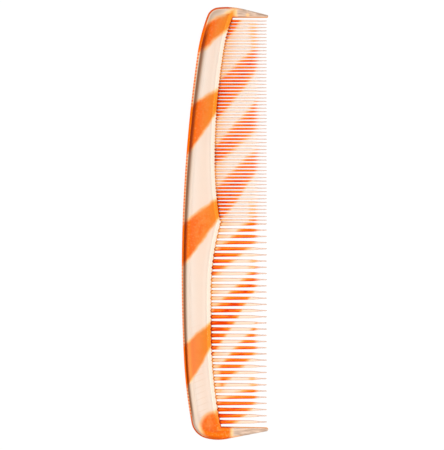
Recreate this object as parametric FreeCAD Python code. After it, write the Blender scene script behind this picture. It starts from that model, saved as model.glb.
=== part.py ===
import FreeCAD, Part

import math
import os

# A two-pitch dressing comb lying on its lower face, in millimetres.
# X runs across the comb from its back to the tooth tips, Y along it towards the fine end, Z up.
# The origin is the middle of its outline, on the surface that it lies on.
# The comb is one moulding. Its spine, its two end guards and its teeth are modelled as solids that
# meet face to face.

V = FreeCAD.Vector

# Overall size
LENGTH = 190.0
WIDTH = 38.0
THICKNESS = 4.4
MIDDLE_Z = THICKNESS / 2

# The outer edge is a chain of tangent arcs that all turn left, from the fine end guard round the back
# to the coarse end guard. Each is (radius, turn in degrees). The comb's length sets the radius of the
# long arc along the back, and the coarse corner turns through what is left of the half turn.
FINE_GUARD_RADIUS, FINE_GUARD_LEAN = 32.0, 14.0
COARSE_GUARD_RADIUS, COARSE_GUARD_LEAN = 20.0, 11.0
FINE_END_TURN, COARSE_END_TURN = 6.7, 15.8
FINE_CORNER = (5.6, 62.5)
FINE_SHOULDER = (80.0, 12.7)
BACK_TURN = 11.2
COARSE_SHOULDER = (216.0, 7.4)
COARSE_CORNER_RADIUS = 8.7

# The root line, where the gaps between the teeth end. Each section's line is deepest at one place.
# From there it is an arc to a place along the comb, then a tighter one.
SECTION_Y = 0.95
FINE_ROOT = {"deep": (-4.15, 27.9), "up": (300.0, 77.6, 62.0), "down": (160.0, SECTION_Y, 160.0)}
COARSE_ROOT = {"deep": (-5.9, -35.7), "up": (1097.0, -29.75, 112.4), "down": (1097.0, -49.0, 220.0)}

# The spine's section: a rounded back edge, and a bevel down to the root line
BACK_ROUND = 2.0
BEVEL_WIDTH, BEVEL_DEPTH = 1.8, 1.2

# The end guards run to a small rounded tip
FINE_GUARD_INNER_Y = 90.2
COARSE_GUARD_INNER_Y = -89.1
COARSE_GUARD_INNER_FALL = 0.4
GUARD_TIP_THICKNESS = 1.5
GUARD_INNER_ROUND = 0.25
ROUND_SHARE = 0.45
GUARD_STEPS = 5

# Every tip is rounded off, and ends in a very small flat
TIP_SHARES = (0.5, 0.8, 1.0)
TIP_BLUNTNESS = 0.95

# The teeth have elliptical sections. Each flares out at the root, narrows evenly as far as a shoulder,
# and then narrows to a blunt point.
TOOTH_ROOT_THICKNESS, TOOTH_TIP_THICKNESS = 2.5, 1.3
TIP_X, SHOULDER_X, POINT_X = 18.4, 11.2, 16.8
MID_POINT_X = (SHOULDER_X + POINT_X) / 2
TIP_ROUND = 0.45
ROOT_OVERLAP = 1.2
ROOT_FLARE, FLARE_LENGTH = 0.22, 1.2
FLARE_STEPS = (0.0, 0.6, 1.4, 3.0)
COARSE_WIDTHS = (1.8, 1.4, 0.58)
COARSE_COUNT, COARSE_FIRST_Y, COARSE_PITCH = 33, -0.25, 2.715
FINE_WIDTHS = (1.12, 0.95, 0.45)
FINE_COUNT, FINE_FIRST_Y = 59, 88.82
FINE_PITCH, FINE_PITCH_GROWTH = 1.444, 0.0022

# Two points closer than this are the same point
NEAR = 1e-4


def arc_step(radius, start, end):
    """How far a left-turning arc moves between two headings in degrees."""
    a, b = math.radians(start), math.radians(end)
    return V(radius * (math.sin(b) - math.sin(a)), radius * (math.cos(a) - math.cos(b)), 0)


def outer_chain():
    """The outer edge's arcs in order, each as (radius, heading, end heading)."""
    turns = [FINE_END_TURN, FINE_CORNER[1], FINE_SHOULDER[1], BACK_TURN, COARSE_SHOULDER[1]]
    headings = [180.0]
    for turn in turns:
        headings.append(headings[-1] + turn)
    headings += [360.0 - COARSE_END_TURN, 360.0]
    radii = [FINE_GUARD_RADIUS, FINE_CORNER[0], FINE_SHOULDER[0], None, COARSE_SHOULDER[0]]
    radii += [COARSE_CORNER_RADIUS, COARSE_GUARD_RADIUS]
    chain = list(zip(radii, headings, headings[1:]))
    fallen = sum(-arc_step(r, a, b).y for r, a, b in chain if r)
    back = radii.index(None)
    per_radius = -arc_step(1.0, headings[back], headings[back + 1]).y
    chain[back] = ((LENGTH - fallen) / per_radius, headings[back], headings[back + 1])
    return chain


def end_crests(chain):
    """The outer edge's highest point, at the fine end, and its lowest, at the coarse end."""
    to_back = V(0, 0, 0)
    whole = V(0, 0, 0)
    for radius, start, end in chain:
        whole += arc_step(radius, start, end)
        if start < 270.0:
            to_back += arc_step(radius, start, min(end, 270.0))
    fine = V(-WIDTH / 2 - to_back.x, LENGTH / 2, 0)
    return fine, fine + whole


OUTER = outer_chain()
FINE_CREST, COARSE_CREST = end_crests(OUTER)


def root_x(y):
    """The root line's X at a place along the comb."""
    line = FINE_ROOT if y > SECTION_Y else COARSE_ROOT
    deep_x, deep_y = line["deep"]
    radius, change_y, end_radius = line["up"] if y > deep_y else line["down"]
    away = abs(y - deep_y)
    change = abs(change_y - deep_y)
    if away <= change:
        return deep_x + radius - math.sqrt(radius**2 - away**2)
    slope = math.asin(change / radius)
    centre_y = change - end_radius * math.sin(slope)
    centre_x = deep_x + radius * (1 - math.cos(slope)) + end_radius * math.cos(slope)
    return centre_x - math.sqrt(end_radius**2 - (away - centre_y) ** 2)


FINE_CORNER_X = root_x(FINE_GUARD_INNER_Y)
COARSE_CORNER_X = root_x(COARSE_GUARD_INNER_Y)


def arc_edge(start, radius, heading, end_heading):
    """A left-turning arc's edge, and the point where it ends."""
    middle = start + arc_step(radius, heading, (heading + end_heading) / 2)
    end = start + arc_step(radius, heading, end_heading)
    return Part.Arc(start, middle, end).toShape(), end


def outer_edges():
    """The spine's part of the outer edge, between the planes where the end guards begin."""
    lead = math.degrees(math.asin((FINE_CORNER_X - FINE_CREST.x) / FINE_GUARD_RADIUS))
    tail = math.degrees(math.asin((COARSE_CORNER_X - COARSE_CREST.x) / COARSE_GUARD_RADIUS))
    radius, _, end = OUTER[0]
    chain = [(radius, 180.0 - lead, end)] + OUTER[1:-1]
    radius, start, _ = OUTER[-1]
    chain.append((radius, start, 360.0 + tail))
    point = FINE_CREST - arc_step(FINE_GUARD_RADIUS, 180.0 - lead, 180.0)
    edges = []
    for radius, start, end in chain:
        edge, point = arc_edge(point, radius, start, end)
        edges.append(edge)
    return edges


def root_edges():
    """The root line's arcs, from the coarse guard to the fine guard."""
    places = [COARSE_GUARD_INNER_Y, COARSE_ROOT["down"][1], COARSE_ROOT["deep"][1]]
    places += [COARSE_ROOT["up"][1], SECTION_Y, FINE_ROOT["deep"][1], FINE_ROOT["up"][1]]
    places.append(FINE_GUARD_INNER_Y)
    corner = V((root_x(SECTION_Y - NEAR) + root_x(SECTION_Y + NEAR)) / 2, SECTION_Y, 0)
    edges = []
    for start, end in zip(places, places[1:]):
        points = [V(root_x(y), y, 0) for y in (start, (start + end) / 2, end)]
        points = [corner if p.y == SECTION_Y else p for p in points]
        edges.append(Part.Arc(*points).toShape())
    return edges


def end_point(edge, last):
    """An edge's first or last point."""
    return edge.valueAt(edge.LastParameter if last else edge.FirstParameter)


def level_edges(body, line):
    """The body's level edges that run above or below a line of edges in the plane Z = 0."""
    found = []
    for edge in body.Edges:
        middle = edge.valueAt((edge.FirstParameter + edge.LastParameter) / 2)
        below = Part.Vertex(V(middle.x, middle.y, 0))
        if edge.BoundBox.ZLength < NEAR and any(e.distToShape(below)[0] < NEAR for e in line):
            found.append(edge)
    return found


def spine():
    """The flat back, rounded along its outer edge and bevelled down to the root line."""
    outer = outer_edges()
    root = root_edges()
    to_root = Part.makeLine(end_point(outer[-1], True), end_point(root[0], False))
    to_outer = Part.makeLine(end_point(root[-1], True), end_point(outer[0], False))
    face = Part.Face(Part.Wire(outer + [to_root] + root + [to_outer]))
    body = face.extrude(V(0, 0, THICKNESS))
    body = body.makeFillet(BACK_ROUND, level_edges(body, outer))
    return body.makeChamfer(BEVEL_WIDTH, BEVEL_DEPTH, level_edges(body, root)).Solids[0]


def guard_outer_y(x, fine):
    """How far along the comb an end guard's outer edge is at X: an arc, then a straight line."""
    crest = FINE_CREST if fine else COARSE_CREST
    radius = FINE_GUARD_RADIUS if fine else COARSE_GUARD_RADIUS
    lean = math.radians(FINE_GUARD_LEAN if fine else COARSE_GUARD_LEAN)
    along = x - crest.x
    on_arc = min(along, radius * math.sin(lean))
    fall = radius - math.sqrt(radius**2 - on_arc**2) + (along - on_arc) * math.tan(lean)
    return crest.y - fall if fine else crest.y + fall


def guard_inner_y(x, fine):
    """How far along the comb an end guard's straight inner edge is at X."""
    if fine:
        return FINE_GUARD_INNER_Y
    share = (x - COARSE_CORNER_X) / (WIDTH / 2 - COARSE_CORNER_X)
    return COARSE_GUARD_INNER_Y - COARSE_GUARD_INNER_FALL * share


def rounded_section(x, y_outer, y_inner, thickness):
    """An end guard's section: more rounded on its outer side, as the spine's back is."""
    side = 1 if y_outer > y_inner else -1
    width = abs(y_outer - y_inner)
    outer = min(BACK_ROUND, ROUND_SHARE * thickness, ROUND_SHARE * width)
    inner = GUARD_INNER_ROUND * min(thickness, width)
    half = thickness / 2
    diagonal = math.sqrt(0.5)
    edges = []
    corners = [(y_outer, -side, 1, outer), (y_inner, side, 1, inner)]
    corners += [(y_inner, side, -1, inner), (y_outer, -side, -1, outer)]
    last = None
    first = None
    for number, (y, inward, up, radius) in enumerate(corners):
        centre = V(x, y + inward * radius, MIDDLE_Z + up * (half - radius))
        on_side = centre - V(0, inward * radius, 0)
        on_face = centre + V(0, 0, up * radius)
        between = centre + V(0, -inward, up) * (radius * diagonal)
        start, end = (on_side, on_face) if number % 2 == 0 else (on_face, on_side)
        if last is None:
            first = start
        else:
            edges.append(Part.makeLine(last, start))
        edges.append(Part.Arc(start, between, end).toShape())
        last = end
    edges.append(Part.makeLine(last, first))
    return Part.Wire(edges)


def tip_size(share):
    """How a blunt tip shrinks towards its small flat end, as a share of its full size."""
    return math.sqrt(1 - (TIP_BLUNTNESS * share) ** 2)


def end_guard(fine):
    """One of the stout end teeth, thinning and narrowing from the spine to a rounded tip."""
    start_x = FINE_CORNER_X if fine else COARSE_CORNER_X
    tip_x = WIDTH / 2
    tip_half = abs(guard_outer_y(tip_x, fine) - guard_inner_y(tip_x, fine)) / 2
    round_x = tip_x - tip_half
    sections = []
    for step in range(GUARD_STEPS + 1):
        share = step / GUARD_STEPS
        x = start_x + (round_x - start_x) * share
        thickness = THICKNESS + (GUARD_TIP_THICKNESS - THICKNESS) * share
        sections.append(rounded_section(x, guard_outer_y(x, fine), guard_inner_y(x, fine), thickness))
    for share in TIP_SHARES:
        x = round_x + tip_half * share
        size = tip_size(share)
        middle = (guard_outer_y(round_x, fine) + guard_inner_y(round_x, fine)) / 2
        half = (guard_outer_y(round_x, fine) - guard_inner_y(round_x, fine)) / 2 * size
        sections.append(rounded_section(x, middle + half, middle - half, GUARD_TIP_THICKNESS * size))
    return Part.makeLoft(sections, True, True)


def tooth_width(x, root, widths):
    """A tooth's width at X: an even taper, flared at the root, and beyond the shoulder a smooth
    narrowing."""
    at_root, at_shoulder, at_tip = widths
    if x < SHOULDER_X:
        flare = ROOT_FLARE * math.exp(-max(0.0, x - root) / FLARE_LENGTH)
        return at_root + (at_shoulder - at_root) * (x - root) / (SHOULDER_X - root) + flare
    share = min(1.0, (x - SHOULDER_X) / (POINT_X - SHOULDER_X))
    return at_shoulder + (at_tip - at_shoulder) * share**2 * (3 - 2 * share)


def tooth_section(x, y, width, thickness):
    """An elliptical section of a tooth, taller than it is wide."""
    centre = V(x, y, MIDDLE_Z)
    top = centre + V(0, 0, thickness / 2)
    side = centre + V(0, width / 2, 0)
    return Part.Wire(Part.Ellipse(top, side, centre).toShape())


def tooth(y, widths):
    """A whole tooth, running a little way into the spine."""
    root = root_x(y)
    places = [root - ROOT_OVERLAP] + [root + step for step in FLARE_STEPS]
    places += [(root + SHOULDER_X) / 2, SHOULDER_X, MID_POINT_X, POINT_X, TIP_X - TIP_ROUND]
    sections = []
    for x in places:
        share = (x - root) / (TIP_X - root)
        thickness = TOOTH_ROOT_THICKNESS + (TOOTH_TIP_THICKNESS - TOOTH_ROOT_THICKNESS) * share
        sections.append((x, y, tooth_width(x, root, widths), thickness))
    x, _, width, thickness = sections[-1]
    for share in TIP_SHARES:
        size = tip_size(share)
        sections.append((x + TIP_ROUND * share, y, width * size, thickness * size))
    return Part.makeLoft([tooth_section(*s) for s in sections], True, True)


def coarse_tooth(number, body):
    """A coarse tooth, numbered from the middle of the comb, cut off where it meets the spine."""
    return tooth(COARSE_FIRST_Y - COARSE_PITCH * number, COARSE_WIDTHS).cut(body)


def fine_teeth(body):
    """All the fine teeth, each a solid of its own. They stand further apart towards the middle."""
    y = FINE_FIRST_Y
    pitch = FINE_PITCH
    teeth = []
    for _ in range(FINE_COUNT):
        teeth += tooth(y, FINE_WIDTHS).cut(body).Solids
        y -= pitch
        pitch += FINE_PITCH_GROWTH
    return Part.makeCompound(teeth)


def write(name, shape):
    """One node's STEP file."""
    shape.exportStep(f"parts/{name}.step")


os.makedirs("parts", exist_ok=True)
back = spine()
write("spine", back)
write("fine_end_guard", end_guard(True))
write("coarse_end_guard", end_guard(False))
write("fine_teeth", fine_teeth(back))
for count in range(COARSE_COUNT):
    write(f"coarse_tooth_{count + 1:02d}", coarse_tooth(count, back))
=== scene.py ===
"""The comb's looks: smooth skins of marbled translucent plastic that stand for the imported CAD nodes."""

import math

import bpy
import numpy as np
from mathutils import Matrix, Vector


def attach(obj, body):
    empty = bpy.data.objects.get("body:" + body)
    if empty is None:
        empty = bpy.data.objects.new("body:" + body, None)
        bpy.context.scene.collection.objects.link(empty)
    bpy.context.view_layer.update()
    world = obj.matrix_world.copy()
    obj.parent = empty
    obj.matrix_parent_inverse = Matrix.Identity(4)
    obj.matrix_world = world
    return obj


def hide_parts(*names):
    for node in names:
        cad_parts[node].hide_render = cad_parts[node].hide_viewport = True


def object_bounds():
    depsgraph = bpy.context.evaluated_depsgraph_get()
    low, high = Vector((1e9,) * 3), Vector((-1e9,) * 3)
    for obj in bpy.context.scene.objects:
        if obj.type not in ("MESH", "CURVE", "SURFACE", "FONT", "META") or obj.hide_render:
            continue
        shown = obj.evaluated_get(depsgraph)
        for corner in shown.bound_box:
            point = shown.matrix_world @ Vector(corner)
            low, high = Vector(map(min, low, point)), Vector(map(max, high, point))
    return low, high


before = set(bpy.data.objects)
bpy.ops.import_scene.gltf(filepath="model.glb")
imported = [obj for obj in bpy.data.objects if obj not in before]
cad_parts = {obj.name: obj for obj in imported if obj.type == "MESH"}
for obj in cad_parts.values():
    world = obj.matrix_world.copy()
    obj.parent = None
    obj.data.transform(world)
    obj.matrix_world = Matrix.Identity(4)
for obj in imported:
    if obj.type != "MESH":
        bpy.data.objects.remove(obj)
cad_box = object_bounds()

# All sizes are in millimetres and in the row frame until a mesh is written, which is in metres.
MM = 0.001
LOW, HIGH = [np.array(corner) / MM for corner in cad_box]
HALF_THICKNESS = (HIGH[2] - LOW[2]) / 2
MIDDLE_Z = LOW[2] + HALF_THICKNESS

# The outer edge, a chain of tangent arcs from the fine guard round the back to the coarse guard. Each
# is (radius, heading where it starts, heading where it ends), in degrees, and turns left. The long arc
# along the back comes between the two lists. The guards' straight parts lean by so many degrees.
FINE_GUARD_RADIUS, FINE_GUARD_LEAN = 32.0, 14.0
COARSE_GUARD_RADIUS, COARSE_GUARD_LEAN = 20.0, 11.0
BACK_START, BACK_END = 261.9, 273.1
FINE_CHAIN = [(FINE_GUARD_RADIUS, 180.0, 186.7), (5.6, 186.7, 249.2), (80.0, 249.2, BACK_START)]
COARSE_CHAIN = [(216.0, BACK_END, 280.5), (8.7, 280.5, 344.2), (COARSE_GUARD_RADIUS, 344.2, 360.0)]

# The root line, where the gaps between the teeth end. Each section's line is deepest at one place, as
# (X, Y). From there, up and down the comb, it is an arc of one radius to a place in Y, then of another.
SECTION_Y = 0.95
FINE_ROOT = {"deep": (-4.15, 27.9), "up": (300.0, 77.6, 62.0), "down": (160.0, SECTION_Y, 160.0)}
COARSE_ROOT = {"deep": (-5.9, -35.7), "up": (1097.0, -29.75, 112.4), "down": (1097.0, -49.0, 220.0)}
FINE_INNER_Y, COARSE_INNER_Y, COARSE_INNER_FALL = 90.2, -89.1, 0.4

# The body's section: a rounded nose along the outer edge, a flat face, and a bevel that falls to an
# upright wall at the root line. A guard's nose, bevel and wall are shares of its own section.
NOSE_WIDTH, FLAT_MARGIN = 3.4, 0.3
BEVEL_WIDTH, WALL_HALF = 1.8, 1.0
GUARD_NOSE_SHARE, GUARD_BEVEL_SHARE, GUARD_WALL_SHARE = 0.55, 0.3, 0.25
GUARD_TIP_HALF, GUARD_THINNING = 0.75, 1.2

# The teeth. The widths are those at the root, at the shoulder and at the point.
TIP_X, SHOULDER_X, POINT_X, TIP_ROUND = 18.4, 11.2, 16.8, 0.45
ROOT_FLARE, FLARE_LENGTH, ROOT_SWELL, ROOT_GAP = 0.22, 1.2, 0.15, 0.015
ROOT_HALF, TIP_HALF = 1.25, 0.65
COARSE_WIDTHS, FINE_WIDTHS = (1.8, 1.4, 0.58), (1.12, 0.95, 0.45)
COARSE_COUNT, COARSE_FIRST_Y, COARSE_PITCH = 33, -0.25, 2.715
FINE_COUNT, FINE_FIRST_Y, FINE_PITCH, FINE_PITCH_GROWTH = 59, 88.82, 1.444, 0.0022

# How finely the skins are divided. The points on the bevel are at shares of its width. The sections of
# a rounded tip stop just short of 90 degrees, where they would have no size.
BACK_STEP, GUARD_STEPS, GUARD_TIP_STEPS = 0.8, 34, 6
NOSE_STEPS, FACE_STEPS, BEVEL_SHARES = 10, 8, (0.93, 0.8, 0.55, 0.3, 0.08, 0.0)
LAST_TIP_ANGLE = 88.0
TOOTH_SIDES, TOOTH_BLADE_START, TOOTH_BLADE_SECTIONS, TOOTH_POINT_SECTIONS = 16, 2.5, 7, 8
TOOTH_ROOT_STEPS = (0.0, 0.15, 0.35, 0.7, 1.3)
TOOTH_TIP_ANGLES = (25.0, 50.0, 70.0, LAST_TIP_ANGLE)

# Beyond these places the body's sections fan out round its corners, from the ends of the root line.
# The root line's direction is smoothed over a little way on both sides.
FINE_FAN_Y, COARSE_FAN_Y = 87.5, -87.0
ROOT_SMOOTHING = 1.5

# The studio, in metres, except for the floor's gap below the comb and the camera's sensor
FLOOR_GAP, FLOOR_SIZE = 0.05, 4.0
CAMERA_HEIGHT, FRAME_HEIGHT = 1.6, 0.1975
CAMERA_X, CAMERA_Y = -0.00129, -0.0007
SENSOR_HEIGHT = 24.0


def arc_step(radius, start, end):
    """How far a left-turning arc moves between two headings in degrees."""
    a, b = math.radians(start), math.radians(end)
    return np.array([radius * (math.sin(b) - math.sin(a)), radius * (math.cos(a) - math.cos(b))])


def inward(heading):
    """The unit vector into the comb from an edge with that heading."""
    a = math.radians(heading)
    return np.array([-math.sin(a), math.cos(a)])


def outer_chain():
    """The outer edge's arcs, with the long back arc's radius from the comb's length."""
    fixed = FINE_CHAIN + COARSE_CHAIN
    fallen = -sum(arc_step(*piece)[1] for piece in fixed)
    per_radius = -arc_step(1.0, BACK_START, BACK_END)[1]
    back = ((HIGH[1] - LOW[1] - fallen) / per_radius, BACK_START, BACK_END)
    return FINE_CHAIN + [back] + COARSE_CHAIN


CHAIN = outer_chain()


def crests():
    """The outer edge's highest point, at the fine end, and its lowest, at the coarse end."""
    to_back = sum(arc_step(r, a, min(b, 270.0)) for r, a, b in CHAIN if a < 270.0)
    fine = np.array([LOW[0] - to_back[0], HIGH[1]])
    return fine, fine + sum(arc_step(*piece) for piece in CHAIN)


FINE_CREST, COARSE_CREST = crests()


def root_x(y):
    """The root line's X at a place along the comb."""
    line = FINE_ROOT if y > SECTION_Y else COARSE_ROOT
    deep_x, deep_y = line["deep"]
    radius, change_y, end_radius = line["up"] if y > deep_y else line["down"]
    away = abs(y - deep_y)
    change = abs(change_y - deep_y)
    if away <= change:
        return deep_x + radius - math.sqrt(radius**2 - away**2)
    slope = math.asin(change / radius)
    centre_y = change - end_radius * math.sin(slope)
    centre_x = deep_x + radius * (1 - math.cos(slope)) + end_radius * math.cos(slope)
    return centre_x - math.sqrt(end_radius**2 - (away - centre_y) ** 2)


def root_inward(y):
    """The unit vector into the spine from the root line, smoothed where its two curves meet."""
    slope = (root_x(y + ROOT_SMOOTHING) - root_x(y - ROOT_SMOOTHING)) / (2 * ROOT_SMOOTHING)
    direction = np.array([-1.0, slope])
    return direction / np.linalg.norm(direction)


def guard_outer(x, fine):
    """A point on an end guard's outer edge, and the edge's heading there."""
    crest = FINE_CREST if fine else COARSE_CREST
    radius = FINE_GUARD_RADIUS if fine else COARSE_GUARD_RADIUS
    lean = math.radians(FINE_GUARD_LEAN if fine else COARSE_GUARD_LEAN)
    along = x - crest[0]
    on_arc = min(along, radius * math.sin(lean))
    fall = radius - math.sqrt(radius**2 - on_arc**2) + (along - on_arc) * math.tan(lean)
    turn = math.degrees(math.asin(on_arc / radius))
    if fine:
        return np.array([x, crest[1] - fall]), 180.0 - turn
    return np.array([x, crest[1] + fall]), 360.0 + turn


def guard_inner_y(x, fine):
    """How far along the comb an end guard's inner edge is at X."""
    if fine:
        return FINE_INNER_Y
    start = root_x(COARSE_INNER_Y)
    return COARSE_INNER_Y - COARSE_INNER_FALL * (x - start) / (HIGH[0] - start)


def guard_stations(fine):
    """Cross-sections of an end guard from its tip to the spine, each as section() takes them."""
    start_x = root_x(FINE_INNER_Y if fine else COARSE_INNER_Y)
    tip_outer, _ = guard_outer(HIGH[0], fine)
    tip_round = abs(tip_outer[1] - guard_inner_y(HIGH[0], fine)) / 2
    round_x = HIGH[0] - tip_round
    side = 1.0 if fine else -1.0
    across = np.array([0.0, side])
    round_outer, _ = guard_outer(round_x, fine)
    round_inner_y = guard_inner_y(round_x, fine)
    middle = (round_outer[1] + round_inner_y) / 2
    stations = []
    for step in range(GUARD_TIP_STEPS):
        angle = math.radians(LAST_TIP_ANGLE - LAST_TIP_ANGLE * step / GUARD_TIP_STEPS)
        size = math.cos(angle)
        reach = abs(round_outer[1] - round_inner_y) / 2 * size
        x = round_x + tip_round * math.sin(angle)
        outer = np.array([x, middle + side * reach])
        inner = np.array([x, middle - side * reach])
        stations.append((outer, -across, inner, across, GUARD_TIP_HALF * size, 0.0))
    for step in range(GUARD_STEPS + 1):
        share = step / GUARD_STEPS
        x = round_x + (start_x - round_x) * share
        outer, heading = guard_outer(x, fine)
        inner = np.array([x, guard_inner_y(x, fine)])
        half = GUARD_TIP_HALF + (HALF_THICKNESS - GUARD_TIP_HALF) * (1 - (1 - share) ** GUARD_THINNING)
        stations.append((outer, inward(heading), inner, across, half, share**3))
    return stations


def chain_points():
    """Points along the outer edge between the guards, as (point, heading)."""
    lead = math.degrees(math.asin((root_x(FINE_INNER_Y) - FINE_CREST[0]) / FINE_GUARD_RADIUS))
    tail = math.degrees(math.asin((root_x(COARSE_INNER_Y) - COARSE_CREST[0]) / COARSE_GUARD_RADIUS))
    pieces = [(FINE_GUARD_RADIUS, 180.0 - lead, 180.0)] + CHAIN
    pieces.append((COARSE_GUARD_RADIUS, 360.0, 360.0 + tail))
    point = FINE_CREST - arc_step(*pieces[0])
    points = []
    for radius, start, end in pieces:
        length = radius * math.radians(end - start)
        count = max(2, round(length / BACK_STEP))
        for number in range(count):
            heading = start + (end - start) * number / count
            points.append((point + arc_step(radius, start, heading), heading))
        point = point + arc_step(radius, start, end)
    points.append((point, 360.0 + tail))
    return points


def between(a, b, share):
    """The unit vector a share of the way from one unit vector to another."""
    mixed = a * (1 - share) + b * share
    return mixed / np.linalg.norm(mixed)


def spine_stations():
    """Cross-sections of the spine from the fine guard round the back to the coarse guard, each as
    section() takes them."""
    points = chain_points()
    fine_fan = [k for k, (p, _) in enumerate(points) if p[1] > FINE_FAN_Y][-1]
    coarse_fan = [k for k, (p, _) in enumerate(points) if p[1] < COARSE_FAN_Y][0]
    gap = (COARSE_INNER_Y - FINE_INNER_Y) / (coarse_fan - fine_fan)
    stations = []
    for number, (outer, heading) in enumerate(points):
        if number <= fine_fan:
            bevel = number / fine_fan
            inner = np.array([root_x(FINE_INNER_Y), FINE_INNER_Y])
            direction = between(np.array([0.0, 1.0]), root_inward(FINE_INNER_Y), bevel)
        elif number >= coarse_fan:
            bevel = (len(points) - 1 - number) / (len(points) - 1 - coarse_fan)
            inner = np.array([root_x(COARSE_INNER_Y), COARSE_INNER_Y])
            direction = between(np.array([0.0, -1.0]), root_inward(COARSE_INNER_Y), bevel)
        else:
            y = FINE_INNER_Y + gap * (number - fine_fan)
            if abs(y - SECTION_Y) < abs(gap) / 2:
                y = SECTION_Y
            inner = np.array([root_x(y), y])
            direction = root_inward(y)
            bevel = 1.0
        stations.append((outer, inward(heading), inner, direction, HALF_THICKNESS, 1.0 + bevel))
    return stations


def section(outer, outer_in, inner, inner_in, half, stage):
    """One cross-section's loop of points: stage runs from 0 at a guard's tip to 1 at the spine and 2
    where the full bevel is reached."""
    width = np.linalg.norm(outer - inner)
    on_spine = max(0.0, stage - 1.0)
    nose = min(NOSE_WIDTH, GUARD_NOSE_SHARE * width)
    guard_bevel = GUARD_BEVEL_SHARE * min(width, 2 * half)
    bevel = guard_bevel + (BEVEL_WIDTH - guard_bevel) * on_spine
    wall = half * (GUARD_WALL_SHARE + (WALL_HALF / HALF_THICKNESS - GUARD_WALL_SHARE) * on_spine)
    upper = []
    for angle in np.radians(np.linspace(0, 90, NOSE_STEPS + 1)):
        place = outer + outer_in * nose * (1 - math.cos(angle))
        upper.append((place[0], place[1], half * math.sin(angle)))
    flat_from = outer + outer_in * nose
    flat_to = inner + inner_in * (bevel + FLAT_MARGIN * on_spine)
    for share in np.linspace(0, 1, FACE_STEPS + 1)[1:]:
        place = flat_from + (flat_to - flat_from) * share
        upper.append((place[0], place[1], half))
    for share in BEVEL_SHARES:
        linear = wall + (half - wall) * share
        rounded = wall + (half - wall) * math.sin(math.radians(90 * share))
        place = inner + inner_in * bevel * share
        upper.append((place[0], place[1], linear * on_spine + rounded * (1 - on_spine)))
    lower = [(x, y, -z) for x, y, z in reversed(upper[1:])]
    return upper + lower


def strips(count):
    """Faces that close a loop of points lying in mirrored pairs, so that the end may be curved."""
    quarter = count // 4
    faces = []
    for k in range(-quarter, quarter):
        corners = (k + 1, k, 2 * quarter - k, 2 * quarter - k - 1)
        faces.append(tuple(dict.fromkeys(corner % count for corner in corners)))
    return faces


def skin(name, loops, first_cap, **values):
    """A closed mesh object from a row of equal loops of points. Each of the values has a number for
    every point, which the material reads by its name."""
    count = len(loops[0])
    points = [Vector((x * MM, y * MM, (MIDDLE_Z + z) * MM)) for loop in loops for x, y, z in loop]
    faces = list(first_cap)
    for row in range(len(loops) - 1):
        for k in range(count):
            after = (k + 1) % count
            a, b = row * count, (row + 1) * count
            faces.append((a + k, a + after, b + after, b + k))
    last = (len(loops) - 1) * count
    faces.append(tuple(range(last, last + count)))
    mesh = bpy.data.meshes.new(name)
    mesh.from_pydata(points, [], faces)
    for label, numbers in values.items():
        mesh.attributes.new(label, "FLOAT", "POINT").data.foreach_set("value", numbers)
    mesh.validate()
    mesh.update()
    for face in mesh.polygons:
        face.use_smooth = True
    body = bpy.data.objects.new(name, mesh)
    bpy.context.scene.collection.objects.link(body)
    return body


def make_body():
    """The spine and both end guards in one unbroken skin."""
    fine = guard_stations(True)
    coarse = guard_stations(False)
    stations = fine[:-1] + spine_stations() + coarse[::-1][1:]
    loops = [section(*station) for station in stations]
    from_edge = []
    from_root = []
    for loop, (outer, _, inner, _, _, _) in zip(loops, stations):
        from_edge += [math.hypot(x - outer[0], y - outer[1]) for x, y, _ in loop]
        from_root += [math.hypot(x - inner[0], y - inner[1]) for x, y, _ in loop]
    flat_cap = [tuple(reversed(range(len(loops[0]))))]
    return skin("comb_body", loops, flat_cap, from_edge=from_edge, from_root=from_root)


def tooth_half_width(x, root, widths):
    """Half a tooth's width at X: an even taper, flared at the root, and beyond the shoulder a smooth
    narrowing to the point."""
    at_root, at_shoulder, at_tip = widths
    if x < SHOULDER_X:
        flare = ROOT_FLARE * math.exp(-max(0.0, x - root) / FLARE_LENGTH)
        width = at_root + (at_shoulder - at_root) * (x - root) / (SHOULDER_X - root) + flare
    else:
        share = min(1.0, (x - SHOULDER_X) / (POINT_X - SHOULDER_X))
        width = at_shoulder + (at_tip - at_shoulder) * share**2 * (3 - 2 * share)
    return width / 2


def start_on_bevel(y, z):
    """Where a tooth starts at that height: on the spine's wall, or on the bevel above and below it."""
    bevel_slope = BEVEL_WIDTH / (HALF_THICKNESS - WALL_HALF)
    return root_x(y) - max(0.0, abs(z) - WALL_HALF) * bevel_slope + ROOT_GAP


def tooth_places(root):
    """Where a tooth's sections are in X, each with its share of the full size."""
    round_x = TIP_X - TIP_ROUND
    places = [root + ROOT_GAP + away for away in TOOTH_ROOT_STEPS]
    places += list(np.linspace(root + TOOTH_BLADE_START, SHOULDER_X, TOOTH_BLADE_SECTIONS))
    places += list(np.linspace(SHOULDER_X, round_x, TOOTH_POINT_SECTIONS)[1:])
    tip = [(round_x + TIP_ROUND * math.sin(a), math.cos(a)) for a in np.radians(TOOTH_TIP_ANGLES)]
    return [(x, 1.0) for x in places] + tip


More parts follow.
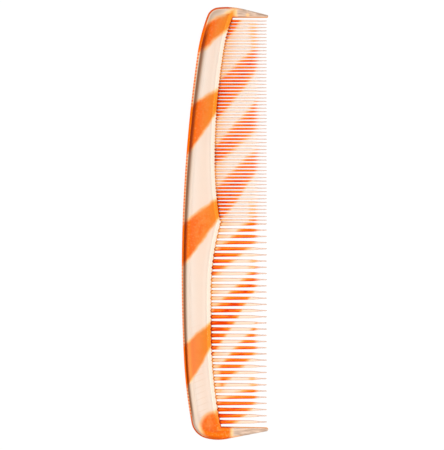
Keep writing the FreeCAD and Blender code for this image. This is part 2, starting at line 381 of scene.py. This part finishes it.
def make_tooth(name, y, widths):
    """One tooth, from the spine's bevel to its rounded tip."""
    root = root_x(y)
    loops = []
    from_root = []
    # Where round the tooth each point is, which the material uses to paint light and shade across the
    # tooth.
    side = []
    for number, (x, size) in enumerate(tooth_places(root)):
        share = (x - root) / (TIP_X - root)
        swell = ROOT_SWELL * math.exp(-max(0.0, x - root))
        half = (ROOT_HALF + (TIP_HALF - ROOT_HALF) * share + swell) * size
        wide = tooth_half_width(min(x, TIP_X - TIP_ROUND), root, widths) * size
        loop = []
        for angle in np.linspace(0, 2 * math.pi, TOOTH_SIDES, endpoint=False):
            point_y = y + wide * math.cos(angle)
            z = half * math.sin(angle)
            start = start_on_bevel(point_y, z)
            point_x = x if number else start
            loop.append((point_x, point_y, z))
            from_root.append(max(0.0, point_x - start))
            side.append(math.cos(angle))
        loops.append(loop)
    return skin(name, loops, strips(TOOTH_SIDES), from_root=from_root, side=side)


def make_teeth():
    """Every tooth as a piece of its own on the coarse half, and the fine teeth as one piece."""
    coarse = []
    for number in range(COARSE_COUNT):
        y = COARSE_FIRST_Y - COARSE_PITCH * number
        coarse.append(make_tooth(f"comb_coarse_tooth_{number + 1:02d}", y, COARSE_WIDTHS))
    fine = []
    y, pitch = FINE_FIRST_Y, FINE_PITCH
    for number in range(FINE_COUNT):
        fine.append(make_tooth(f"comb_fine_{number}", y, FINE_WIDTHS))
        y -= pitch
        pitch += FINE_PITCH_GROWTH
    with bpy.context.temp_override(
        active_object=fine[0], selected_editable_objects=fine, selected_objects=fine
    ):
        bpy.ops.object.join()
    fine[0].name = "comb_fine_teeth"
    return coarse, fine[0]


class Graph:
    """A material's node tree, built from short calls. Lengths in it are in millimetres."""

    def __init__(self, name):
        self.material = bpy.data.materials.new(name)
        self.material.use_nodes = True
        self.nodes = self.material.node_tree.nodes
        self.links = self.material.node_tree.links
        self.shader = self.nodes["Principled BSDF"]
        place = self.nodes.new("ShaderNodeTexCoord").outputs["Object"]
        self.where = self.scaled(place, 1 / MM, 1 / MM, 1 / MM)
        apart = self.nodes.new("ShaderNodeSeparateXYZ")
        self.links.new(self.where, apart.inputs[0])
        self.x, self.y, _ = apart.outputs

    def put(self, socket, value):
        """Sets an input to a number or a colour, or links it to another node's output."""
        if isinstance(value, bpy.types.NodeSocket):
            self.links.new(value, socket)
        elif isinstance(value, tuple):
            socket.default_value = (*value, 1.0)
        else:
            socket.default_value = value

    def set(self, **values):
        """Sets inputs of the surface's shader."""
        for name, value in values.items():
            self.put(self.shader.inputs[name.replace("_", " ")], value)

    def math(self, operation, *values):
        """One step of arithmetic, by Blender's name for it."""
        node = self.nodes.new("ShaderNodeMath")
        node.operation = operation
        for socket, value in zip(node.inputs, values):
            self.put(socket, value)
        return node.outputs[0]

    def product(self, first, *others):
        """All the values multiplied together."""
        for other in others:
            first = self.math("MULTIPLY", first, other)
        return first

    def line(self, value, slope, start):
        """start + slope x value"""
        return self.math("MULTIPLY_ADD", value, slope, start)

    def fade(self, value, start, end):
        """A smooth rise from 0 where the value is start to 1 where it is end, either way round."""
        node = self.nodes.new("ShaderNodeMapRange")
        node.interpolation_type = "SMOOTHSTEP"
        self.put(node.inputs["Value"], value)
        self.put(node.inputs["From Min"], start)
        self.put(node.inputs["From Max"], end)
        return node.outputs[0]

    def mix(self, factor, first, second):
        """A colour between two."""
        node = self.nodes.new("ShaderNodeMix")
        node.data_type = "RGBA"
        self.put(node.inputs[0], factor)
        self.put(node.inputs[6], first)
        self.put(node.inputs[7], second)
        return node.outputs[2]

    def attribute(self, name):
        """A value that the mesh holds for every point."""
        node = self.nodes.new("ShaderNodeAttribute")
        node.attribute_name = name
        return node.outputs["Fac"]

    def scaled(self, where, *scale):
        """A place with each of its coordinates multiplied."""
        node = self.nodes.new("ShaderNodeVectorMath")
        node.operation = "MULTIPLY"
        self.links.new(where, node.inputs[0])
        node.inputs[1].default_value = scale
        return node.outputs[0]

    def noise(self, size, detail=2.0, stretch=(1.0, 1.0, 1.0)):
        """Noise from 0 to 1, about 0.5, with features of about that size, longer by each stretch."""
        node = self.nodes.new("ShaderNodeTexNoise")
        where = self.scaled(self.where, *(1 / (size * longer) for longer in stretch))
        self.links.new(where, node.inputs["Vector"])
        node.inputs["Scale"].default_value = 1.0
        node.inputs["Detail"].default_value = detail
        return node.outputs[0]

    def ramp(self, value, *stops):
        """A colour by value, from (place, colour) pairs."""
        node = self.nodes.new("ShaderNodeValToRGB")
        self.links.new(value, node.inputs[0])
        elements = node.color_ramp.elements
        while len(elements) < len(stops):
            elements.new(0.5)
        for element, (place, colour) in zip(elements, stops):
            element.position = place
            element.color = (*colour, 1.0)
        return node.outputs[0]


# The marbling. Each band of orange dye runs across the comb between an upper and a lower line, given
# as (Y of the upper at X 0, its slope, Y of the lower at X 0, its slope, where in X the band begins,
# where it ends). A spot is (X, Y, radius), and one of no size shows as a faint stain.
SPINE_BANDS = [
    (91.7, 0.57, 84.2, 0.8, -30.0, 4.2),
    (61.0, 0.65, 53.8, 1.45, -30.0, 30.0),
    (13.7, 0.75, 5.5, 1.33, -30.0, 30.0),
    (-37.5, 0.89, -43.8, 1.72, -30.0, 30.0),
    (-82.3, 0.0, -130.0, 0.0, -4.5, 3.1),
]
SPINE_SPOTS = [(10.0, 91.3, 0.0), (-4.4, -89.0, 6.3)]
TEETH_BANDS = [
    (110.0, 0.0, 79.2, 1.6, -30.0, 6.0),
    (64.6, 0.87, 50.3, 1.27, -30.0, 15.0),
    (37.5, 1.1, 29.8, 0.9, -30.0, 14.5),
    (18.5, 0.95, 4.2, 1.4, -30.0, 14.7),
    (-9.2, 0.91, -18.2, 0.84, -30.0, 13.3),
    (-33.2, 0.98, -48.7, 1.62, -30.0, 15.3),
    (-61.0, 1.15, -69.3, 1.0, -1.5, 13.3),
    (-77.5, 0.4, -91.0, 1.0, -30.0, 13.4),
]
FAINT_BANDS = [
    (88.0, 0.0, 66.0, 0.0, 10.5, 16.0),
    (10.0, 0.0, 2.0, 0.0, 10.0, 15.0),
    (-14.0, 0.0, -20.5, 0.0, 10.5, 14.5),
    (-66.5, 0.0, -72.5, 0.0, 10.5, 14.5),
]

# The spans over which things fade in, each as (none of it, all of it). First come how far inside its
# edge the dye shows, and how much dye gives the paler fringe and then the full orange.
BODY_DYE, TEETH_DYE, FAINT_DYE, FAINT_STRENGTH = (-1.8, 2.0), (-3.4, 1.8), (-1.5, 2.0), 0.42
BODY_FRINGE, TEETH_FRINGE, FULL_ORANGE = (0.0, 0.45), (0.0, 0.5), (0.3, 0.95)
# Places in Y: the comb's ends, the hatching, and in the dye the strokes, the warmth and the low band
ENDS_Y, HATCH_Y, STROKES_Y, WARM_Y = (80.0, 90.0), (-38.0, -55.0), (-80.0, -86.0), (-85.0, -70.0)
LOW_BAND_TOP_Y, LOW_BAND_BOTTOM_Y = (-28.0, -45.0), (-78.0, -65.0)
# Places in X: the guards, and on them the edge line's change of colour and its end, and the end of
# the brown band; on the teeth, the pale tips and the worn ones
GUARDS_X, LINE_GUARD_X, LINE_X, BROWN_X = (0.0, 7.0), (1.0, 4.0), (9.0, 4.0), (2.0, -4.0)
TIPS_X, WORN_X = (12.5, 16.0), (13.0, TIP_X)

# The body's undyed colours. The slope, nose and corner ones are darker copies that paint shade.
CREAM, CREAM_SHADED_SLOPE, CREAM_BELLY = (0.96, 0.83, 0.72), (0.84, 0.70, 0.58), (0.94, 0.77, 0.64)
CREAM_SHADED_NOSE, CREAM_SHADED_CORNER = (0.72, 0.57, 0.45), (0.66, 0.50, 0.38)
GUARD_LIGHT, GUARD_DARK = (0.74, 0.54, 0.41), (0.40, 0.26, 0.19)
# The faint slanting lines are a painted reflection of the coarse teeth.
HATCH_REFLECTION, HATCH_SLOPE, HATCH_STRENGTH = (0.84, 0.60, 0.44), 0.4, 0.5

# The body's dyed colours
PEACH, AMBER, ORANGE = (0.98, 0.56, 0.26), (0.90, 0.26, 0.02), (0.98, 0.28, 0.04)
DEEP, PALE_ORANGE = (0.96, 0.155, 0.005), (0.98, 0.36, 0.11)

# The thin line along the outer edge, painted reflection of the teeth in the rounded edge; the brown band
# inside it, painted shade; and the line along the roots, painted shade where the teeth meet the body. The
# two widths are (width at Y 0, its growth with Y), and the line's stays between a least and a most.
BROWN_SHADE, BROWN_ORANGE_SHADE = (0.22, 0.10, 0.05), (0.24, 0.025, 0.0)
LINE_WIDTH, BROWN_WIDTH = (0.75, 0.005), (2.35, 0.006)
LINE_REFLECTION_RED, LINE_REFLECTION_ORANGE, LINE_REFLECTION_CORNER = (0.86, 0.11, 0.0), (0.97, 0.15, 0.0), (0.68, 0.09, 0.0)
LINE_REFLECTION_GUARD, LINE_REFLECTION_PALE = (0.90, 0.44, 0.20), (0.94, 0.56, 0.28)
LINE_LEAST, LINE_MOST = 0.65, 0.85
ROOT_SHADE_TAN, ROOT_SHADE_BROWN, ROOT_SHADE_RED = (0.78, 0.32, 0.09), (0.72, 0.25, 0.04), (0.46, 0.025, 0.0)

# The teeth's colours. The lit, shaded and highlight ones paint light and shade across each tooth.
TOOTH_LIT_CREAM, TOOTH_CREAM, TOOTH_SHADED_TAN = (0.95, 0.76, 0.61), (0.92, 0.60, 0.42), (0.80, 0.50, 0.37)
TOOTH_ROOT, TOOTH_TIP = (0.90, 0.46, 0.21), (0.80, 0.55, 0.43)
TOOTH_HIGHLIGHT_PEACH, TOOTH_ORANGE, TOOTH_SHADED_RED = (0.98, 0.30, 0.03), (0.97, 0.155, 0.0), (0.92, 0.085, 0.0)
TOOTH_FRINGE, TOOTH_DEEP = (0.98, 0.46, 0.16), (0.74, 0.045, 0.0)

# Further from the dye than any point is
FAR_OUTSIDE = -100.0

# How clear and how shiny the plastic is on the body's flat faces, where they are rounded or bevelled,
# and in the teeth
PLASTIC_IOR = 1.49
BODY_CLEARNESS, BODY_SHINE, ROUNDED_SHINE = 0.45, 0.5, 0.02
TOOTH_CLEARNESS, TOOTH_SHINE = 0.06, 0.04
SCRATCH_DEPTH, SCRATCH_STRENGTH = 0.03, 0.12


def depth_in_dye(graph, bands, spots=()):
    """How far inside the nearest band or spot of dye a point is, less than 0 outside. The dye's edges
    are a little uneven."""
    wide_drift = graph.line(graph.noise(11.0), 3.4, -2.5)
    small_drift = graph.product(graph.noise(2.6, 3.0), 1.6)
    wander = graph.math("ADD", wide_drift, small_drift)
    y = graph.math("ADD", graph.y, wander)
    x = graph.math("SUBTRACT", graph.x, wander)
    inside = FAR_OUTSIDE
    for top, top_slope, bottom, bottom_slope, begin, end in bands:
        below = graph.math("SUBTRACT", graph.line(graph.x, top_slope, top), y)
        above = graph.math("SUBTRACT", y, graph.line(graph.x, bottom_slope, bottom))
        across = graph.math("MINIMUM", graph.line(x, 1.0, -begin), graph.line(x, -1.0, end))
        band = graph.math("MINIMUM", graph.math("MINIMUM", below, above), across)
        inside = graph.math("MAXIMUM", inside, band)
    for spot_x, spot_y, radius in spots:
        away = graph.math("POWER", graph.line(graph.x, 1.0, -spot_x), 2.0)
        away = graph.math("ADD", away, graph.math("POWER", graph.line(graph.y, 1.0, -spot_y), 2.0))
        spot = graph.line(graph.math("SQRT", away), -1.0, radius)
        inside = graph.math("MAXIMUM", inside, spot)
    return inside


def finish_plastic(graph, colour, clearness, shine, worn):
    """The colour, gloss and light-carrying that the comb's plastic has everywhere. Fine scratches
    and handling make it less shiny where it is worn."""
    smears = graph.noise(5.0, 4.0, (1.0, 3.0, 1.0))
    scratches = graph.noise(0.25, 2.0, (1.0, 14.0, 1.0))
    rough = graph.math("ADD", graph.line(smears, 0.09, 0.015), graph.product(worn, 0.14))
    bump = graph.nodes.new("ShaderNodeBump")
    bump.inputs["Strength"].default_value = SCRATCH_STRENGTH
    bump.inputs["Distance"].default_value = SCRATCH_DEPTH * MM
    graph.put(bump.inputs["Height"], graph.math("ADD", graph.product(scratches, 0.4), smears))
    graph.set(Base_Color=colour, Transmission_Weight=clearness, IOR=PLASTIC_IOR, Roughness=rough)
    graph.set(Specular_IOR_Level=shine, Normal=bump.outputs[0])
    return graph.material


def hatching(graph, edge):
    """How much the faint slanting lines over the lower body show, one line for each coarse tooth: a
    painted reflection of the coarse teeth.
    """
    slanted = graph.line(graph.x, -HATCH_SLOPE, graph.y)
    stripe = graph.math("SINE", graph.product(slanted, 2 * math.pi / COARSE_PITCH))
    hatch = graph.product(graph.fade(stripe, 0.86, 1.0), graph.fade(graph.y, *HATCH_Y))
    hatch = graph.product(hatch, graph.fade(edge, 2.5, 4.0), graph.fade(edge, 10.0, 7.0))
    return graph.product(hatch, HATCH_STRENGTH)


def body_cream(graph, edge, root, ends):
    """The body where it isn't dyed: warm in the middle of its face, darker by painted shade on the bevel,
    along the rounded edge and at the corners, and streaked along the guards."""
    belly = graph.product(graph.fade(edge, 3.5, 8.0), graph.fade(root, 2.0, 4.5))
    bevel = graph.fade(root, 4.0, 1.2)
    nose = graph.fade(edge, 4.8, 2.2)
    corner = graph.product(ends, graph.fade(edge, 8.0, 1.5), graph.noise(2.5, 2.0, (3.0, 1.0, 1.0)))
    streaks = graph.fade(graph.noise(0.55, 2.0, (30.0, 1.0, 1.0)), 0.3, 0.7)
    on_guard = graph.fade(graph.x, *GUARDS_X)
    cream = graph.mix(belly, graph.mix(bevel, CREAM, CREAM_SHADED_SLOPE), CREAM_BELLY)
    cream = graph.mix(nose, cream, CREAM_SHADED_NOSE)
    cream = graph.mix(corner, cream, CREAM_SHADED_CORNER)
    cream = graph.mix(on_guard, cream, graph.mix(streaks, GUARD_LIGHT, GUARD_DARK))
    return graph.mix(hatching(graph, edge), cream, HATCH_REFLECTION)


def body_orange(graph, inside, edge, root):
    """The body where it is dyed: deep in clouds, towards the back edge and in strokes at the coarse
    end, pale in specks and in the lower band, and yellower towards the root line."""
    clouds = graph.fade(graph.noise(2.4, 4.0), 0.35, 0.7)
    strokes = graph.fade(graph.noise(1.5, 2.0, (1.0, 3.0, 1.0)), 0.35, 0.6)
    core = graph.product(graph.fade(inside, 0.5, 4.0), clouds)
    core = graph.math("MAXIMUM", core, graph.fade(edge, 9.0, 3.0))
    core = graph.math("MAXIMUM", core, graph.product(graph.fade(graph.y, *STROKES_Y), strokes))
    specks = graph.fade(graph.noise(0.9, 4.0), 0.48, 0.72)
    low_band = graph.product(graph.fade(graph.y, *LOW_BAND_TOP_Y), graph.fade(graph.y, *LOW_BAND_BOTTOM_Y))
    pale = graph.product(graph.math("MAXIMUM", specks, low_band), 0.5)
    warm = graph.product(graph.fade(root, 10.0, 1.5), graph.fade(graph.y, *WARM_Y), 0.9)
    orange = graph.mix(core, ORANGE, DEEP)
    orange = graph.mix(pale, orange, PALE_ORANGE)
    return graph.mix(warm, orange, AMBER)


def inside_line(graph, edge):
    """How far inside the thin line along the outer edge a point is."""
    width, growth = LINE_WIDTH
    return graph.math("SUBTRACT", edge, graph.line(graph.y, growth, width))


def brown_shade_band(graph, edge, ends):
    """How much the brown band of painted shade inside the thin line shows. It is wider towards the fine
    end.
    """
    inner = inside_line(graph, edge)
    width, growth = BROWN_WIDTH
    fading = graph.line(graph.y, growth, width)
    shade = graph.product(graph.fade(inner, -0.3, 0.35), graph.fade(inner, fading, 0.7))
    return graph.product(shade, graph.line(ends, -0.55, 1.0), graph.fade(graph.x, *BROWN_X))


def reflection_line(graph, edge):
    """How much the thin line of painted reflection along the outer edge shows. It ends on the guards."""
    inner = graph.math("MAXIMUM", inside_line(graph, edge), graph.line(edge, 1.0, -LINE_MOST))
    inner = graph.math("MINIMUM", inner, graph.line(edge, 1.0, -LINE_LEAST))
    return graph.product(graph.fade(inner, 0.2, -0.2), graph.fade(graph.x, *LINE_X))


def reflection_line_colour(graph, dyed, ends):
    """The line's colour, a painted reflection: dotted at the fine teeth's spacing, as the teeth seen in
    the rounded edge, except at the ends and in the dye.
    """
    beat = graph.math("SINE", graph.product(graph.y, 2 * math.pi / FINE_PITCH))
    reflected_teeth = graph.line(beat, 0.4, 0.6)
    solid = graph.math("MAXIMUM", reflected_teeth, graph.math("MAXIMUM", dyed, ends))
    colour = graph.mix(solid, LINE_REFLECTION_PALE, graph.mix(dyed, LINE_REFLECTION_RED, LINE_REFLECTION_ORANGE))
    colour = graph.mix(ends, colour, LINE_REFLECTION_CORNER)
    return graph.mix(graph.fade(graph.x, *LINE_GUARD_X), colour, LINE_REFLECTION_GUARD)


def body_plastic():
    """Cream plastic marbled with orange, with the darker lines that its rounded edge shows painted in as
    shade and reflection.
    """
    graph = Graph("comb_body_plastic")
    edge = graph.attribute("from_edge")
    root = graph.attribute("from_root")
    ends = graph.fade(graph.math("ABSOLUTE", graph.y), *ENDS_Y)
    inside = depth_in_dye(graph, SPINE_BANDS, SPINE_SPOTS)
    dyed = graph.fade(inside, *BODY_DYE)

    colour = graph.mix(graph.fade(dyed, *BODY_FRINGE), body_cream(graph, edge, root, ends), PEACH)
    colour = graph.mix(graph.fade(dyed, *FULL_ORANGE), colour, body_orange(graph, inside, edge, root))
    # A thin line of painted shade along the roots, where the teeth meet the body.
    colour = graph.mix(graph.fade(root, 0.5, 0.25), colour, graph.mix(dyed, ROOT_SHADE_TAN, ROOT_SHADE_RED))
    # The brown band is painted shade: the dark that the rounded edge shows, redder in the dye.
    brown_shade = graph.mix(dyed, BROWN_SHADE, BROWN_ORANGE_SHADE)
    colour = graph.mix(brown_shade_band(graph, edge, ends), colour, brown_shade)
    # The thin line along the outer edge is painted reflection of the teeth in the rounded edge.
    colour = graph.mix(reflection_line(graph, edge), colour, reflection_line_colour(graph, dyed, ends))

    murky = graph.math("MAXIMUM", graph.fade(edge, 4.2, 2.4), graph.fade(root, 2.4, 1.6))
    matt = graph.math("MAXIMUM", graph.fade(edge, 4.2, 2.6), graph.fade(root, 4.5, 3.0))
    clearness = graph.line(murky, -BODY_CLEARNESS, BODY_CLEARNESS)
    shine = graph.line(matt, ROUNDED_SHINE - BODY_SHINE, BODY_SHINE)
    return finish_plastic(graph, colour, clearness, shine, graph.fade(edge, 1.2, 0.0))


def tooth_cream(graph, side, near_root):
    """The teeth where they aren't dyed, with painted light and shade from one side to the other, and
    warmer at the root.
    """
    across = ((0.1, TOOTH_LIT_CREAM), (0.45, TOOTH_CREAM), (0.6, TOOTH_LIT_CREAM), (0.85, TOOTH_SHADED_TAN))
    cream = graph.ramp(side, *across)
    return graph.mix(graph.product(near_root, 0.9), cream, TOOTH_ROOT)


def tooth_orange(graph, side, near_root, inside):
    """The teeth where they are dyed, with painted shade and painted highlight lines from one side to the
    other, and deep clouds.
    """
    across = [(0.1, TOOTH_SHADED_RED), (0.4, TOOTH_ORANGE), (0.6, TOOTH_HIGHLIGHT_PEACH)]
    across += [(0.75, TOOTH_ORANGE), (0.95, TOOTH_HIGHLIGHT_PEACH)]
    orange = graph.ramp(side, *across)
    clouds = graph.fade(graph.noise(1.3, 2.0, (5.0, 1.0, 1.0)), 0.35, 0.65)
    core = graph.product(graph.fade(inside, 1.0, 5.0), clouds)
    deep = graph.math("MAXIMUM", core, graph.product(near_root, 0.5))
    return graph.mix(deep, orange, TOOTH_DEEP)


def tooth_plastic():
    """The same plastic in the teeth, where the dye looks redder."""
    graph = Graph("comb_tooth_plastic")
    root = graph.attribute("from_root")
    # Where round the tooth a point is, from 0 on one side to 1 on the other, for the painted light and
    # shade.
    side = graph.line(graph.attribute("side"), 0.5, 0.5)
    near_root = graph.fade(root, 7.0, 0.0)
    inside = depth_in_dye(graph, TEETH_BANDS)
    faint = graph.fade(depth_in_dye(graph, FAINT_BANDS), *FAINT_DYE)
    dyed = graph.fade(inside, *TEETH_DYE)
    dyed = graph.math("MAXIMUM", dyed, graph.product(faint, FAINT_STRENGTH))

    cream = tooth_cream(graph, side, near_root)
    orange = tooth_orange(graph, side, near_root, inside)
    colour = graph.mix(graph.fade(dyed, *TEETH_FRINGE), cream, TOOTH_FRINGE)
    colour = graph.mix(graph.fade(dyed, *FULL_ORANGE), colour, orange)
    # Each tooth's start has a thin line of painted shade where it meets the body.
    colour = graph.mix(graph.fade(root, 0.85, 0.45), colour, graph.mix(dyed, ROOT_SHADE_BROWN, ROOT_SHADE_RED))
    colour = graph.mix(graph.fade(graph.x, *TIPS_X), colour, TOOTH_TIP)
    worn = graph.fade(graph.x, *WORN_X)
    return finish_plastic(graph, colour, TOOTH_CLEARNESS, TOOTH_SHINE, worn)


def floor_material():
    """A pale, softly glowing light table."""
    graph = Graph("pale_floor")
    graph.set(Base_Color=(0.06, 0.06, 0.06), Roughness=0.9, Specular_IOR_Level=0.0)
    graph.set(Emission_Color=(1.0, 1.0, 1.0), Emission_Strength=0.95)
    return graph.material


def area_light(name, place, size, power):
    """A soft square light aimed at the comb, in metres and watts."""
    data = bpy.data.lights.new(name, "AREA")
    data.shape = "SQUARE"
    data.size = size
    data.energy = power
    light = bpy.data.objects.new(name, data)
    light.location = place
    light.rotation_euler = (-Vector(place)).to_track_quat("-Z", "Y").to_euler()
    bpy.context.scene.collection.objects.link(light)


def studio():
    """The floor, lights and world."""
    bpy.ops.mesh.primitive_plane_add(size=FLOOR_SIZE, location=(0, 0, (LOW[2] - FLOOR_GAP) * MM))
    floor = bpy.context.object
    floor.name = "floor"
    floor.data.materials.append(floor_material())
    area_light("soft_key", place=(0.9, -0.3, 1.0), size=0.9, power=16.0)
    area_light("soft_fill", place=(-0.9, 0.3, 1.0), size=0.9, power=13.5)
    world = bpy.data.worlds.new("studio")
    world.use_nodes = True
    background = world.node_tree.nodes["Background"]
    background.inputs["Color"].default_value = (1.0, 1.0, 1.0, 1.0)
    background.inputs["Strength"].default_value = 0.35
    bpy.context.scene.world = world
    bpy.context.scene.view_settings.view_transform = "Standard"


def camera():
    """A long lens straight above the comb, with the fine end at the top of the picture."""
    data = bpy.data.cameras.new("camera")
    data.sensor_fit = "VERTICAL"
    data.sensor_height = SENSOR_HEIGHT
    data.lens = SENSOR_HEIGHT * (CAMERA_HEIGHT - MIDDLE_Z * MM) / FRAME_HEIGHT
    eye = bpy.data.objects.new("camera", data)
    eye.location = (CAMERA_X, CAMERA_Y, CAMERA_HEIGHT)
    bpy.context.scene.collection.objects.link(eye)
    bpy.context.scene.camera = eye


body = make_body()
coarse, fine = make_teeth()
body.data.materials.append(body_plastic())
teeth_material = tooth_plastic()
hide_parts("spine", "fine_end_guard", "coarse_end_guard")
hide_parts("fine_teeth")
for number, tooth in enumerate(coarse):
    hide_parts(f"coarse_tooth_{number + 1:02d}")
for piece in coarse + [fine]:
    piece.data.materials.append(teeth_material)
for piece in coarse + [fine, body]:
    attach(piece, "root")
studio()
camera()
